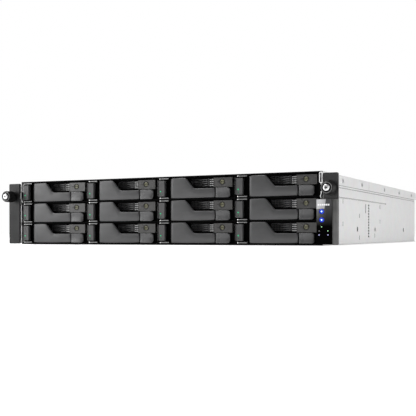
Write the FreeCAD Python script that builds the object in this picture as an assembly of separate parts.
"""Rack-mounted network storage unit, 2U high, with twelve hot-swap drive trays.

Row frame: +X to the viewer's right, +Y from the front to the rear, +Z up, millimetres.
The origin is the centre of the overall footprint at the height of the bottom sheet.
Shapes are laid out with Y = 0 at the front plane of the drive cage, and moved by FRONT_Y when written.
"""
import FreeCAD, Part
import math
import os

# Overall sizes
RACK_WIDTH = 482.6          # across the two ears, 19-inch rack standard
RACK_HOLE_SPACING = 465.1   # between the two columns of rack holes
BODY_WIDTH = 443.0
BODY_HEIGHT = 88.0
BODY_DEPTH = 557.0          # cage front plane to rear wall
COVER_OVERHANG = 12.0       # top cover past the rear wall
KNOB_REACH = 23.0           # thumbscrew fronts ahead of the cage front plane
HANDLE_REACH = 28.0         # power supply handles behind the rear wall
FRONT_Y = (KNOB_REACH - BODY_DEPTH - HANDLE_REACH) / 2

# Sheet metal
SHEET = 1.0
SIDE_SHEET = 1.2
LIP_LOW = 75.0              # lower edge of the cover's side lips
LIP_GAP = 0.5
SEAM_Y = 222.0              # joint between the fixed front cover and the rear cover
SEAM_GAP = 0.5
LOW_GROOVE, HIGH_GROOVE = (59.0, 60.4, 327.0), (71.4, 72.4, 548.0)      # low Z, high Z, rear end
GROOVE_DEPTH = 0.8
RAIL_HOLES = [(158.4, 19.9, 3.6), (257.7, 19.9, 3.2), (458.4, 19.9, 3.6)]   # Y, Z, radius
SIDE_DENTS = [(86.9, 55.2), (86.9, 26.5), (168.4, 38.3), (168.4, 8.4),
              (288.5, 53.7), (288.5, 31.9), (255.7, 11.0)]
DENT_WIDTH, DENT_HEIGHT, DENT_DEPTH = 2.0, 5.6, 0.5
VENT_COUNT, VENT_LOW, VENT_PITCH, VENT_Y = 12, 10.0, 4.0, 219.5
VENT_WIDTH, VENT_HEIGHT = 7.0, 2.2
LANCE_Y, LANCE_WIDTH, LANCE_LOW, LANCE_HIGH = 202.0, 6.0, 43.0, 55.0    # raised tab by the vents
LANCE_RISE, LANCE_SLIT = 0.45, 1.8
LIP_SCREWS_Y, LIP_SCREW_Z = [86.9, 183.2, 318.3, 424.5, 526.8], 81.2
REAR_VENT_COLUMNS, REAR_VENT_ROWS = 12, 5

# Drive bays
COLUMNS, ROWS = 4, 3
COLUMN_PITCH = 109.6
ROW_PITCH = 28.6
BAY_LEFT = -219.2           # left edge of the first column
BAY_LOW = 2.0               # floor of the lowest row
BAY_HEIGHT = 27.0
PARTITION = 1.4
CAGE_DEPTH = 166.0
POST_WIDTH = 2.4
HOOKS = [(205.8, 217.5, 86.0, 88.0), (-218.0, -212.0, 86.0, 88.0),
         (195.5, 205.9, 0.0, 2.0), (-209.0, -203.0, 0.0, 2.0)]

# Drive tray, measured from its column's left edge and its bay's floor
TRAY_LEFT, TRAY_RIGHT = 0.3, 105.9
TRAY_LOW, TRAY_HIGH = 0.3, 26.7
BASE_FRONT, BASE_BACK = 5.0, 8.0
RAIL_END = 162.0
RAIL_THICK = 1.8
DRIVE = (101.6, 147.0, 26.1)    # 3.5-inch disk drive, width, length and height
DRIVE_FRONT = 10.0
TAB_RIGHT, TAB_LOW, TAB_HIGH = 10.0, 3.3, 23.8
PLATE_LEFT, PLATE_RIGHT, PLATE_LOW, PLATE_HIGH = 79.5, 105.2, 13.5, 25.3
LOCK_X, LOCK_Z, LOCK_R = 91.6, 20.0, 3.1
PIVOT_X, PIVOT_Y = 21.5, 4.0
PIN_R, PIN_HOLE_R = 1.2, 1.28

# Lever and release button
LEVER_NOSE_R = 4.7
LEVER_SKIN = 1.5
LEVER_RIGHT = 80.9
LEVER_LOW, LEVER_STEP, LEVER_HIGH = 0.4, 12.6, 26.5
BUTTON_LEFT, BUTTON_RIGHT, BUTTON_HIGH = 82.6, 101.4, 12.8

# Ears, control panel and thumbscrews
EAR_FRONT = -3.0
EAR_LOW, EAR_HIGH = 0.7, 85.6
EAR_OUT, EAR_IN = RACK_WIDTH / 2, 223.2
BRACKET_THICK = 2.0
PANEL_LEFT, PANEL_RIGHT, PANEL_FRONT = 215.9, 234.3, -6.0
PANEL_LOW, PANEL_HIGH = 1.1, 54.3
SCREW_Z = 67.0
COLLAR_R, HEAD_R, SHANK_R, STUD_R = 7.7, 4.45, 2.3, 3.0
STUD_START, STUD_END = 2.6, 16.0
BUTTONS_X, POWER_Z, IDENT_Z, FRONT_BUTTON_R = 222.1, 40.0, 30.1, 3.0
LENSES = [(222.2, 21.9), (219.1, 17.1), (219.1, 12.4), (229.8, 17.2), (229.8, 12.5)]
LENS_R = 1.1

# Inside and rear
BACKPLANE_Y = 170.0
FAN_SIZE, FAN_DEPTH, FAN_Y = 80.0, 38.0, 190.0
FAN_X = [-140.0, 0.0, 140.0]
FAN_HOLE_R, ROTOR_R, HUB_R, BLADES = 38.0, 36.5, 18.0, 7
BOARD_LEFT, BOARD_RIGHT, BOARD_FRONT, BOARD_REAR = -205.0, 120.0, 250.0, 552.0
BOARD_LOW, BOARD_THICK = 7.0, 1.6
PSU_LEFT, PSU_RIGHT, PSU_LENGTH, PSU_HEIGHT = 141.0, 214.5, 185.0, 39.6
PSU_LOWS = [1.4, 43.2]
NETWORK_X = [-160.0, -142.0, -124.0, -106.0]
USB_X = -196.0
USB_LOWS = [10.2, 18.6]
SLOTS_X = [-60.0, -39.7, -19.4, 0.9, 21.2, 41.5]

Vector = FreeCAD.Vector


def box(x0, x1, y0, y1, z0, z1):
    """A block between two corners."""
    return Part.makeBox(x1 - x0, y1 - y0, z1 - z0, Vector(x0, y0, z0))


def rod(radius, start, end):
    """A round bar from one point to another."""
    line = Vector(*end) - Vector(*start)
    return Part.makeCylinder(radius, line.Length, Vector(*start), line)


def fuse(*shapes):
    """The shapes joined in one clean solid."""
    return shapes[0].fuse(list(shapes[1:])).removeSplitter()


def mirrored(shape):
    """The same shape on the other side of the middle plane."""
    return shape.mirror(Vector(0, 0, 0), Vector(1, 0, 0))


def outline(corners, y, length):
    """Extrudes a rounded polygon of (x, z, corner radius) points along +Y from the given Y."""
    count = len(corners)
    starts, arcs, ends = [], [], []
    for index, (x, z, radius) in enumerate(corners):
        here = Vector(x, y, z)
        before = Vector(corners[index - 1][0], y, corners[index - 1][1])
        after = Vector(corners[(index + 1) % count][0], y, corners[(index + 1) % count][1])
        to_before = (before - here).normalize()
        to_after = (after - here).normalize()
        if radius == 0:
            starts.append(here)
            ends.append(here)
            arcs.append(None)
            continue
        half = to_before.getAngle(to_after) / 2
        setback = radius / math.tan(half)
        bisector = (to_before + to_after).normalize()
        centre = here + bisector * (radius / math.sin(half))
        starts.append(here + to_before * setback)
        ends.append(here + to_after * setback)
        arcs.append(Part.Arc(starts[-1], centre - bisector * radius, ends[-1]).toShape())
    edges = []
    for index in range(count):
        if arcs[index]:
            edges.append(arcs[index])
        start, end = ends[index], starts[(index + 1) % count]
        if start.distanceToPoint(end) > 1e-6:
            edges.append(Part.LineSegment(start, end).toShape())
    return Part.Face(Part.Wire(edges)).extrude(Vector(0, length, 0))


def write(name, *solids):
    """Moves the solids to the row frame and writes them as one named node."""
    moved = []
    for solid in solids:
        copy = solid.copy()
        copy.translate(Vector(0, FRONT_Y, 0))
        moved.append(copy)
    shape = moved[0] if len(moved) == 1 else Part.makeCompound(moved)
    shape.exportStep(os.path.join("parts", name + ".step"))


def bays():
    """Number and corner of each bay, left to right along the top row, then the rows below."""
    number = 0
    for row in reversed(range(ROWS)):
        for column in range(COLUMNS):
            number += 1
            yield number, Vector(BAY_LEFT + column * COLUMN_PITCH, 0, BAY_LOW + row * ROW_PITCH)


# ---- chassis and covers ----

def side_sheet():
    """Right side sheet: joggled in under the cover lip, with grooves, rail holes, vents and a raised tab."""
    out = BODY_WIDTH / 2
    inner = out - SIDE_SHEET
    lower = box(inner, out, 0, BODY_DEPTH, 0, LIP_LOW - LIP_GAP)
    upper = box(inner - SHEET, inner - 0.1, 1, BODY_DEPTH - 1, LIP_LOW - 2, BODY_HEIGHT - SHEET)
    joggle = box(inner - SHEET, inner + 0.2, 1, BODY_DEPTH - 1, LIP_LOW - 2, LIP_LOW - 0.9)
    lance = box(inner + 0.2, out + LANCE_RISE, LANCE_Y, LANCE_Y + LANCE_WIDTH, LANCE_LOW, LANCE_HIGH)
    sheet = fuse(lower, upper, joggle, lance)
    for low, high, end in (LOW_GROOVE, HIGH_GROOVE):
        sheet = sheet.cut(box(out - GROOVE_DEPTH, out + 1, -1, end, low, high))
    for y, z, radius in RAIL_HOLES:
        sheet = sheet.cut(rod(radius, (inner - 3, y, z), (out + 1, y, z)))
    wide, tall = DENT_WIDTH / 2, DENT_HEIGHT / 2
    for y, z in SIDE_DENTS:
        sheet = sheet.cut(box(out - DENT_DEPTH, out + 1, y - wide, y + wide, z - tall, z + tall))
    wide, tall = VENT_WIDTH / 2, VENT_HEIGHT / 2
    for index in range(VENT_COUNT):
        z = VENT_LOW + index * VENT_PITCH
        sheet = sheet.cut(box(inner - 3, out + 1, VENT_Y - wide, VENT_Y + wide, z - tall, z + tall))
    return sheet.cut(box(inner - 3, out + 1, LANCE_Y - LANCE_SLIT, LANCE_Y, LANCE_LOW, LANCE_HIGH))


def chassis_base():
    """Bottom sheet, both sides, the rear wall with its openings and the power supply bay's walls."""
    half = BODY_WIDTH / 2 - SIDE_SHEET
    rear = box(-half, half, BODY_DEPTH - SIDE_SHEET, BODY_DEPTH, 0.5, LIP_LOW - LIP_GAP)
    rear = rear.fuse(box(-half + SHEET, half - SHEET, BODY_DEPTH - SIDE_SHEET, BODY_DEPTH, LIP_LOW - 1, 86.9))
    before, behind = BODY_DEPTH - SIDE_SHEET - 1, BODY_DEPTH + 1
    rear = rear.cut(box(PSU_LEFT - 0.4, PSU_RIGHT + 0.4, before, behind, 1, 83.6))
    for x in NETWORK_X:
        rear = rear.cut(box(x - 8.3, x + 8.3, before, behind, 8.2, 23.4))
    rear = rear.cut(box(USB_X - 7.2, USB_X + 7.2, before, behind, 8.2, 25.4))
    for x in SLOTS_X:
        rear = rear.cut(box(x - 6.5, x + 6.5, before, behind, 9.5, 69.5))
    for column in range(REAR_VENT_COLUMNS):
        for row in range(REAR_VENT_ROWS):
            x, z = -208 + column * 10.5, 38 + row * 9.5
            slot = [(x, z, 1.4), (x + 7, z, 1.4), (x + 7, z + 5, 1.4), (x, z + 5, 1.4)]
            rear = rear.cut(outline(slot, before, behind - before))
    bottom = box(-half - 0.2, half + 0.2, 0, BODY_DEPTH, 0, SHEET)
    wall = box(PSU_LEFT - 1.4, PSU_LEFT - 0.4, BODY_DEPTH - PSU_LENGTH - 8, BODY_DEPTH - 1, 0.5, 84)
    shelf = box(PSU_LEFT - 1, half + 0.2, BODY_DEPTH - PSU_LENGTH - 8, BODY_DEPTH - 1, 41.6, 42.6)
    side = side_sheet()
    return fuse(bottom, side, mirrored(side), rear, wall, shelf)


def cover(start, end):
    """A flat sheet with a lip down each side."""
    half = BODY_WIDTH / 2
    top = box(-half, half, start, end, BODY_HEIGHT - SHEET, BODY_HEIGHT)
    lip = box(half - SHEET, half, start, end, LIP_LOW, BODY_HEIGHT - 0.5)
    return fuse(top, lip, mirrored(lip))


def front_cover():
    """Fixed cover over the drive cage and the fans."""
    return cover(0, SEAM_Y - SEAM_GAP / 2)


def top_cover():
    """Removable rear cover, with two finger grips pressed into its top."""
    sheet = cover(SEAM_Y + SEAM_GAP / 2, BODY_DEPTH + COVER_OVERHANG)
    start, end = BODY_DEPTH - 40, BODY_DEPTH - 28
    for x in (-70, 70):
        sheet = sheet.cut(box(x - 16, x + 16, start, end, BODY_HEIGHT - 0.4, BODY_HEIGHT + 1))
    return sheet


def cover_screws():
    """Low cross-recess screws along both lips."""
    half, z = BODY_WIDTH / 2, LIP_SCREW_Z
    screws = []
    for y in LIP_SCREWS_Y:
        head = rod(2.6, (half, y, z), (half + 0.7, y, z))
        head = head.cut(box(half + 0.3, half + 1, y - 1.6, y + 1.6, z - 0.3, z + 0.3))
        head = head.cut(box(half + 0.3, half + 1, y - 0.3, y + 0.3, z - 1.6, z + 1.6))
        screws += [head, mirrored(head)]
    return screws


# ---- drive cage and trays ----

def drive_cage():
    """Shelves and partitions in one black frame, open at each of the twelve bays."""
    left, right = BAY_LEFT, -BAY_LEFT
    low, high = SHEET, BODY_HEIGHT - SHEET
    cage = box(left, right, 0, CAGE_DEPTH, low, high)
    for _, corner in bays():
        bay_left = corner.x if corner.x > BAY_LEFT + 1 else BAY_LEFT - 1
        bay_right = corner.x + COLUMN_PITCH - PARTITION
        if bay_right > right - PARTITION - 1:
            bay_right = right + 1
        cage = cage.cut(box(bay_left, bay_right, -1, CAGE_DEPTH + 1, corner.z, corner.z + BAY_HEIGHT))
    right_post = box(right - POST_WIDTH, right, 0, 2.4, low, high)
    hooks = [box(x0, x1, -0.6, 0, z0, z1) for x0, x1, z0, z1 in HOOKS]
    return fuse(cage, right_post, *hooks)


def tray_sled():
    """Bezel base with its LED tab, lock plate and grille, the two side rails, and the lever's hinge pin."""
    base = box(TRAY_LEFT, TRAY_RIGHT, BASE_FRONT, BASE_BACK, TRAY_LOW, TRAY_HIGH)
    base = base.cut(box(TAB_RIGHT, PIVOT_X + 5.5, 0, BASE_BACK + 1, TRAY_LOW - 1, TRAY_HIGH + 1))
    base = base.cut(box(44, 77.5, 0, BASE_BACK + 1, 15.2, 24.8))
    bridge = box(TAB_RIGHT - 2, PIVOT_X + 7, BASE_BACK + 1.4, BASE_BACK + 2, TRAY_LOW, TRAY_HIGH)
    bridge = bridge.fuse(box(TAB_RIGHT - 2, TAB_RIGHT, BASE_BACK - 1, BASE_BACK + 2, TRAY_LOW, TRAY_HIGH))
    bridge = bridge.fuse(box(PIVOT_X + 5.5, PIVOT_X + 7, BASE_BACK - 1, BASE_BACK + 2, TRAY_LOW, TRAY_HIGH))
    tab = box(TRAY_LEFT, TAB_RIGHT, 0, BASE_FRONT + 1, TAB_LOW, TAB_HIGH)
    plate = box(PLATE_LEFT, PLATE_RIGHT, 0, BASE_FRONT + 1, PLATE_LOW, PLATE_HIGH)
    plate = plate.cut(rod(LOCK_R + 0.1, (LOCK_X, -1, LOCK_Z), (LOCK_X, 4, LOCK_Z)))
    plate = plate.cut(box(PLATE_LEFT - 1, PLATE_LEFT + 0.6, -1, 3, PLATE_LOW - 1, PLATE_HIGH + 1))
    sled = fuse(base, bridge, tab, plate)
    for index in range(4):
        z = 15.9 + index * 2.6
        sled = fuse(sled, box(42, 78.5, BASE_FRONT - 1, BASE_FRONT + 1, z, z + 0.9))
    for left in (TRAY_LEFT, TRAY_RIGHT - RAIL_THICK):
        sled = fuse(sled, box(left, left + RAIL_THICK, BASE_BACK - 0.5, RAIL_END, TAB_LOW, TAB_HIGH))
    for low, high in ((TRAY_LOW, 1.8), (25.2, TRAY_HIGH)):
        lug = rod(2.8, (PIVOT_X, PIVOT_Y, low), (PIVOT_X, PIVOT_Y, high))
        arm = box(PIVOT_X, PIVOT_X + 6, PIVOT_Y - 1, BASE_BACK, low, high)
        sled = fuse(sled, lug, arm)
    pin = rod(PIN_R, (PIVOT_X, PIVOT_Y, TRAY_LOW), (PIVOT_X, PIVOT_Y, TRAY_HIGH))
    return fuse(sled, pin)


def disk_drive():
    """3.5-inch disk held between the rails."""
    width, length, height = DRIVE
    middle_x = (TRAY_LEFT + TRAY_RIGHT) / 2
    middle_z = (TRAY_LOW + TRAY_HIGH) / 2
    body = box(middle_x - width / 2, middle_x + width / 2, DRIVE_FRONT, DRIVE_FRONT + length,
               middle_z - height / 2, middle_z + height / 2)
    return body.cut(box(middle_x - 22, middle_x + 22, DRIVE_FRONT + length - 6, DRIVE_FRONT + length + 1,
                        middle_z - height / 2 - 1, middle_z - height / 2 + 5))


def tray_lock():
    """Coin lock's barrel in the upper right plate."""
    return rod(LOCK_R, (LOCK_X, -0.3, LOCK_Z), (LOCK_X, 3.9, LOCK_Z))


def shield_springs():
    """Bent steel grounding fingers above and below the LED tab."""
    springs = []
    for low in (TRAY_LOW, TRAY_HIGH - 1.2):
        flat = box(1.2, 9.8, 0.2, BASE_FRONT, low, low + 1.2)
        front = box(1.2, 15.6, -0.3, 0.2, low, low + 1.2)
        springs.append(fuse(flat, front))
    return springs


def lever_outline(inset, y, length):
    """Front outline of the lever, full height at its hinged end and stepped down by an S curve."""
    return outline([
        (PIVOT_X - LEVER_NOSE_R - 1, LEVER_LOW + inset, 0),
        (LEVER_RIGHT - inset, LEVER_LOW + inset, 2.6),
        (LEVER_RIGHT - inset, LEVER_STEP - inset, 1.2),
        (51.6 + inset * 0.5, LEVER_STEP - inset, 6.0),
        (40.2 - inset * 0.5, LEVER_HIGH - inset, 5.0),
        (PIVOT_X - LEVER_NOSE_R - 1, LEVER_HIGH - inset, 0),
    ], y, length)


def tray_lever():
    """Lever with a round nose on its hinge barrel, a front skin and a thicker back."""
    low, high = LEVER_LOW - 1, LEVER_HIGH + 1
    front = PIVOT_Y - LEVER_NOSE_R
    tube = rod(LEVER_NOSE_R, (PIVOT_X, PIVOT_Y, low), (PIVOT_X, PIVOT_Y, high))
    tube = tube.cut(rod(LEVER_NOSE_R - LEVER_SKIN, (PIVOT_X, PIVOT_Y, low), (PIVOT_X, PIVOT_Y, high)))
    nose = tube.common(box(PIVOT_X - LEVER_NOSE_R, PIVOT_X, front, PIVOT_Y, low, high))
    skin = fuse(nose, box(PIVOT_X, LEVER_RIGHT, front, front + LEVER_SKIN, low, high))
    skin = skin.common(lever_outline(0, front - 1, 12))
    barrel = rod(LEVER_NOSE_R - 1.2, (PIVOT_X, PIVOT_Y, 2.1), (PIVOT_X, PIVOT_Y, 24.9))
    back = box(PIVOT_X, LEVER_RIGHT, front + 0.5, front + 4.2, 2.1, 24.9)
    back = back.common(lever_outline(1.4, front - 1, 12))
    hook = box(LEVER_RIGHT - 6, LEVER_RIGHT - 2.6, front + 3.5, front + 5.2, 4.5, 9)
    hole = rod(PIN_HOLE_R, (PIVOT_X, PIVOT_Y, 0), (PIVOT_X, PIVOT_Y, 27))
    return fuse(skin, barrel, back, hook).cut(hole)


def release_button():
    """Push button beside the lever, with a bowed right edge."""
    low = LEVER_LOW
    middle = (low + BUTTON_HIGH) / 2
    points = [Vector(BUTTON_LEFT, 0, low), Vector(BUTTON_RIGHT - 1.6, 0, low),
              Vector(BUTTON_RIGHT - 1.6, 0, BUTTON_HIGH), Vector(BUTTON_LEFT, 0, BUTTON_HIGH)]
    edges = [
        Part.LineSegment(points[0], points[1]).toShape(),
        Part.Arc(points[1], Vector(BUTTON_RIGHT, 0, middle), points[2]).toShape(),
        Part.LineSegment(points[2], points[3]).toShape(),
        Part.LineSegment(points[3], points[0]).toShape(),
    ]
    cap = Part.Face(Part.Wire(edges)).extrude(Vector(0, 2.9, 0))
    cap.translate(Vector(0, -0.4, 0))
    return cap


# ---- ears, panel and thumbscrews ----

def ear_bracket():
    """Steel angle behind the right ear: the rack flange and the plate along the body."""
    plate = box(BODY_WIDTH / 2, EAR_IN, 0, 60, 8, 70)
    flange = box(BODY_WIDTH / 2, EAR_OUT - 0.6, 0, BRACKET_THICK, 2, 85)
    hole = rod(SHANK_R + 0.4, (RACK_HOLE_SPACING / 2, -1, SCREW_Z), (RACK_HOLE_SPACING / 2, 3, SCREW_Z))
    return fuse(plate, flange).cut(hole)


def left_ear():
    """Plain plastic ear cover over its steel bracket."""
    cap = outline([(-EAR_OUT, EAR_LOW, 1.6), (-EAR_IN, EAR_LOW, 0.5), (-EAR_IN, EAR_HIGH, 0.5),
                   (-EAR_OUT, EAR_HIGH, 1.6)], EAR_FRONT, -EAR_FRONT)
    hole = rod(STUD_R + 0.5, (-RACK_HOLE_SPACING / 2, -5, SCREW_Z), (-RACK_HOLE_SPACING / 2, 5, SCREW_Z))
    return [cap.cut(hole), mirrored(ear_bracket())]


def right_ear():
    """Ear cover with a round sink at the thumbscrew, open below where the control panel sits."""
    cap = outline([(EAR_IN, PANEL_HIGH + 0.2, 0.5), (EAR_OUT, PANEL_HIGH + 0.2, 0), (EAR_OUT, EAR_HIGH, 1.6),
                   (EAR_IN, EAR_HIGH, 0.5)], EAR_FRONT, -EAR_FRONT)
    centre_x = RACK_HOLE_SPACING / 2
    sink = rod(8.4, (centre_x, EAR_FRONT - 1, SCREW_Z), (centre_x, EAR_FRONT + 1.2, SCREW_Z))
    hole = rod(STUD_R + 0.5, (centre_x, -5, SCREW_Z), (centre_x, 5, SCREW_Z))
    strip = outline([(PANEL_RIGHT + 0.2, EAR_LOW, 0), (EAR_OUT, EAR_LOW, 1.6), (EAR_OUT, PANEL_HIGH, 0),
                     (PANEL_RIGHT + 0.2, PANEL_HIGH, 0)], EAR_FRONT - 1, 1 - EAR_FRONT)
    return [cap.cut(sink).cut(hole), strip, ear_bracket()]


def control_panel():
    """Gloss panel housing with holes for two buttons and five lenses, and the lenses."""
    housing = outline([(PANEL_LEFT, PANEL_LOW, 0.8), (PANEL_RIGHT, PANEL_LOW, 0),
                       (PANEL_RIGHT, PANEL_HIGH, 0),
                       (PANEL_LEFT, PANEL_HIGH, 0.8)], PANEL_FRONT, -PANEL_FRONT)
    for z in (POWER_Z, IDENT_Z):
        well = rod(FRONT_BUTTON_R + 0.3, (BUTTONS_X, PANEL_FRONT - 1, z), (BUTTONS_X, -1.8, z))
        housing = housing.cut(well)
    lenses = []
    for x, z in LENSES:
        housing = housing.cut(rod(LENS_R, (x, PANEL_FRONT - 1, z), (x, -2, z)))
        lenses.append(rod(LENS_R, (x, PANEL_FRONT - 0.1, z), (x, -2, z)))
    return [housing] + lenses


def panel_button(z):
    """Round push button."""
    return rod(FRONT_BUTTON_R, (BUTTONS_X, PANEL_FRONT - 0.4, z), (BUTTONS_X, -3.2, z))


def thumbscrew(x):
    """Captive rack screw: knurled collar, cross-recess head, thin shank through the ear, threaded stud."""
    front = -KNOB_REACH
    collar = rod(COLLAR_R, (x, front + 2, SCREW_Z), (x, EAR_FRONT - 3.4, SCREW_Z))
    for index in range(24):
        angle = index * 2 * math.pi / 24
        groove_x = x + (COLLAR_R + 0.35) * math.cos(angle)
        groove_z = SCREW_Z + (COLLAR_R + 0.35) * math.sin(angle)
        collar = collar.cut(rod(0.7, (groove_x, front + 3.5, groove_z), (groove_x, EAR_FRONT, groove_z)))
    head = rod(HEAD_R, (x, front, SCREW_Z), (x, front + 3, SCREW_Z))
    for half_x, half_z in ((2.3, 0.6), (0.6, 2.3)):
        low_z, high_z = SCREW_Z - half_z, SCREW_Z + half_z
        head = head.cut(box(x - half_x, x + half_x, front - 1, front + 1.6, low_z, high_z))
    neck = rod(4.5, (x, EAR_FRONT - 4, SCREW_Z), (x, EAR_FRONT - 0.4, SCREW_Z))
    shank = rod(SHANK_R, (x, front + 2.5, SCREW_Z), (x, STUD_START, SCREW_Z))
    stud = rod(STUD_R, (x, STUD_START, SCREW_Z), (x, STUD_END, SCREW_Z))
    return fuse(collar, head, neck, shank, stud)


# ---- inside ----

def backplane():
    """Circuit board behind the bays with one drive connector each and air slots."""
    board = box(-216, 216, BACKPLANE_Y, BACKPLANE_Y + 1.6, 3, 85)
    connectors = []
    for _, corner in bays():
        x, z = corner.x + COLUMN_PITCH / 2, corner.z + 3.5
        connectors.append(box(x - 20, x + 20, RAIL_END + 1, BACKPLANE_Y, z, z + 5))
        board = board.cut(box(x - 36, x + 36, BACKPLANE_Y - 1, BACKPLANE_Y + 3, z + 8, z + 19))
    return [board] + connectors


def fan_frame(x):
    """Square fan frame with its round duct and three stays that carry the motor plate."""
    low = SHEET
    middle = low + FAN_SIZE / 2
    end = FAN_Y + FAN_DEPTH
    frame = box(x - FAN_SIZE / 2, x + FAN_SIZE / 2, FAN_Y, end, low, low + FAN_SIZE)
    frame = frame.cut(rod(FAN_HOLE_R, (x, FAN_Y - 1, middle), (x, end + 1, middle)))
    plate = rod(HUB_R, (x, end - 4, middle), (x, end, middle))
    frame = frame.fuse(plate)
    for index in range(3):
        stay = box(x - 1.5, x + 1.5, end - 4, end, middle, middle + FAN_HOLE_R + 1)
        stay.rotate(Vector(x, 0, middle), Vector(0, 1, 0), 60 + 120 * index)
        frame = frame.fuse(stay)
    return frame.removeSplitter()


def fan_rotor(x):
    """Hub with seven pitched blades."""
    middle = SHEET + FAN_SIZE / 2
    rotor = rod(HUB_R - 0.5, (x, FAN_Y + 3, middle), (x, FAN_Y + FAN_DEPTH - 5, middle))
    start, end = FAN_Y + 5, FAN_Y + FAN_DEPTH - 8
    for index in range(BLADES):
        blade = box(x - 0.9, x + 0.9, start, end, middle + HUB_R - 3, middle + ROTOR_R - 1.5)
        blade.rotate(Vector(x, FAN_Y + FAN_DEPTH / 2 - 2, middle), Vector(0, 0, 1), 32)
        blade.rotate(Vector(x, 0, middle), Vector(0, 1, 0), index * 360 / BLADES)
        rotor = rotor.fuse(blade)
    return rotor.removeSplitter()


def motherboard():
    """Main board on standoffs, with its chips and memory modules."""
    top = BOARD_LOW + BOARD_THICK
    pieces = [box(BOARD_LEFT, BOARD_RIGHT, BOARD_FRONT, BOARD_REAR, BOARD_LOW, top)]
    for x in (BOARD_LEFT + 8, -40, BOARD_RIGHT - 8):
        for y in (BOARD_FRONT + 8, 400, BOARD_REAR - 20):
            pieces.append(rod(3, (x, y, SHEET), (x, y, BOARD_LOW)))
    for index in range(4):
        x = 48 + index * 9
        pieces.append(box(x, x + 5, 330, 470, top, top + 5))
        pieces.append(box(x + 1.9, x + 3.1, 334, 466, top + 5, top + 31))
    pieces.append(box(-150, -120, 360, 390, top, top + 2))
    return pieces


def cpu_heatsink():
    """Finned heat sink on the processor."""
    low = BOARD_LOW + BOARD_THICK
    sink = box(-80, 0, 350, 440, low, low + 8)
    for index in range(14):
        x = -80 + index * 6
        sink = sink.fuse(box(x, x + 2, 350, 440, low + 7, 60))
    return sink.removeSplitter()


def rear_ports():
    """Network and USB sockets, and the six expansion slot covers."""
    top = BOARD_LOW + BOARD_THICK
    ports = []
    for x in NETWORK_X:
        shell = box(x - 8, x + 8, BODY_DEPTH - 21, BODY_DEPTH + 1, top, top + 14.4)
        socket = box(x - 6, x + 6, BODY_DEPTH - 13, BODY_DEPTH + 2, top + 3, top + 10.5)
        catch = box(x - 3, x + 3, BODY_DEPTH - 13, BODY_DEPTH + 2, top + 10, top + 12.6)
        ports.append(shell.cut(socket).cut(catch))
    block = box(USB_X - 6.9, USB_X + 6.9, BODY_DEPTH - 17, BODY_DEPTH + 0.8, top, 25)
    for low in USB_LOWS:
        socket = box(USB_X - 6.2, USB_X + 6.2, BODY_DEPTH - 10, BODY_DEPTH + 2, low + 0.2, low + 5.4)
        block = block.cut(socket)
    ports.append(block)
    for x in SLOTS_X:
        plate = box(x - 9, x + 9, BODY_DEPTH - 2.4, BODY_DEPTH - SIDE_SHEET, 8.8, 76)
        ports.append(plate)
    return ports


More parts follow.
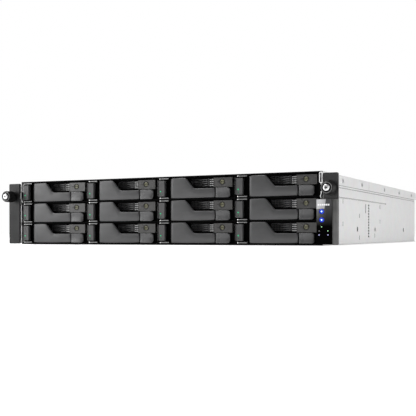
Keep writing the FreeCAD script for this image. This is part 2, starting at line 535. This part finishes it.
def power_supply(low):
    """Slide-in power supply with a mains inlet, a fan grille and a bow handle."""
    high = low + PSU_HEIGHT
    rear = BODY_DEPTH + 1.0
    body = box(PSU_LEFT, PSU_RIGHT, BODY_DEPTH - PSU_LENGTH, rear, low, high)
    inlet_x, inlet_z = PSU_LEFT + 21, low + PSU_HEIGHT / 2
    body = body.cut(box(inlet_x - 12.3, inlet_x + 12.3, rear - 17, rear + 1, inlet_z - 8.2, inlet_z + 8.2))
    for pin_x, pin_z in ((-7, -1), (0, 3), (7, -1)):
        blade = box(inlet_x + pin_x - 1, inlet_x + pin_x + 1, rear - 18, rear - 2,
                    inlet_z + pin_z - 2, inlet_z + pin_z + 2)
        body = body.fuse(blade)
    fan_x = PSU_RIGHT - 22
    for ring in range(4):
        inner, outer = 3 + ring * 3.6, 5.2 + ring * 3.6
        tube = rod(outer, (fan_x, rear - 3, inlet_z), (fan_x, rear + 1, inlet_z))
        tube = tube.cut(rod(inner, (fan_x, rear - 3, inlet_z), (fan_x, rear + 1, inlet_z)))
        for angle in (0, 90):
            bar = box(fan_x - 17, fan_x + 17, rear - 4, rear + 2, inlet_z - 0.8, inlet_z + 0.8)
            bar.rotate(Vector(fan_x, 0, inlet_z), Vector(0, 1, 0), 45 + angle)
            tube = tube.cut(bar)
        body = body.cut(tube)
    handle_x = PSU_LEFT + 40
    bow = box(handle_x - 3, handle_x + 3, rear - 0.5, BODY_DEPTH + HANDLE_REACH, low + 3, high - 3)
    bow = bow.cut(box(handle_x - 4, handle_x + 4, rear, BODY_DEPTH + HANDLE_REACH - 4, low + 7, high - 7))
    return fuse(body, bow)


def psu_latch(low):
    """Thumb latch that slides sideways on the power supply's rear face."""
    rear = BODY_DEPTH + 1.0
    middle = low + 5
    return fuse(box(PSU_RIGHT - 17, PSU_RIGHT - 5, rear + 0.3, rear + 2.3, middle - 2.5, middle + 2.5),
                box(PSU_RIGHT - 14, PSU_RIGHT - 11.5, rear + 2, rear + 9, middle - 2.5, middle + 2.5))


def main():
    os.makedirs("parts", exist_ok=True)
    write("chassis_base", chassis_base())
    write("front_cover", front_cover())
    write("top_cover", top_cover())
    write("cover_screws", *cover_screws())
    write("drive_cage", drive_cage())
    tray = [tray_sled(), disk_drive(), tray_lock()] + shield_springs()
    lever, button = tray_lever(), release_button()
    for number, corner in bays():
        write(f"drive_tray_{number}", *[solid.translated(corner) for solid in tray])
        write(f"tray_lever_{number}", lever.translated(corner))
        write(f"release_button_{number}", button.translated(corner))
    write("left_ear", *left_ear())
    write("right_ear", *right_ear())
    write("control_panel", *control_panel())
    write("left_thumbscrew", thumbscrew(-RACK_HOLE_SPACING / 2))
    write("right_thumbscrew", thumbscrew(RACK_HOLE_SPACING / 2))
    write("power_button", panel_button(POWER_Z))
    write("ident_button", panel_button(IDENT_Z))
    write("backplane", *backplane())
    write("fan_frames", *[fan_frame(x) for x in FAN_X])
    for number, x in enumerate(FAN_X, 1):
        write(f"fan_rotor_{number}", fan_rotor(x))
    write("motherboard", *motherboard())
    write("cpu_heatsink", cpu_heatsink())
    write("rear_ports", *rear_ports())
    for number, low in enumerate(PSU_LOWS, 1):
        write(f"power_supply_{number}", power_supply(low))
        write(f"psu_latch_{number}", psu_latch(low))


main()
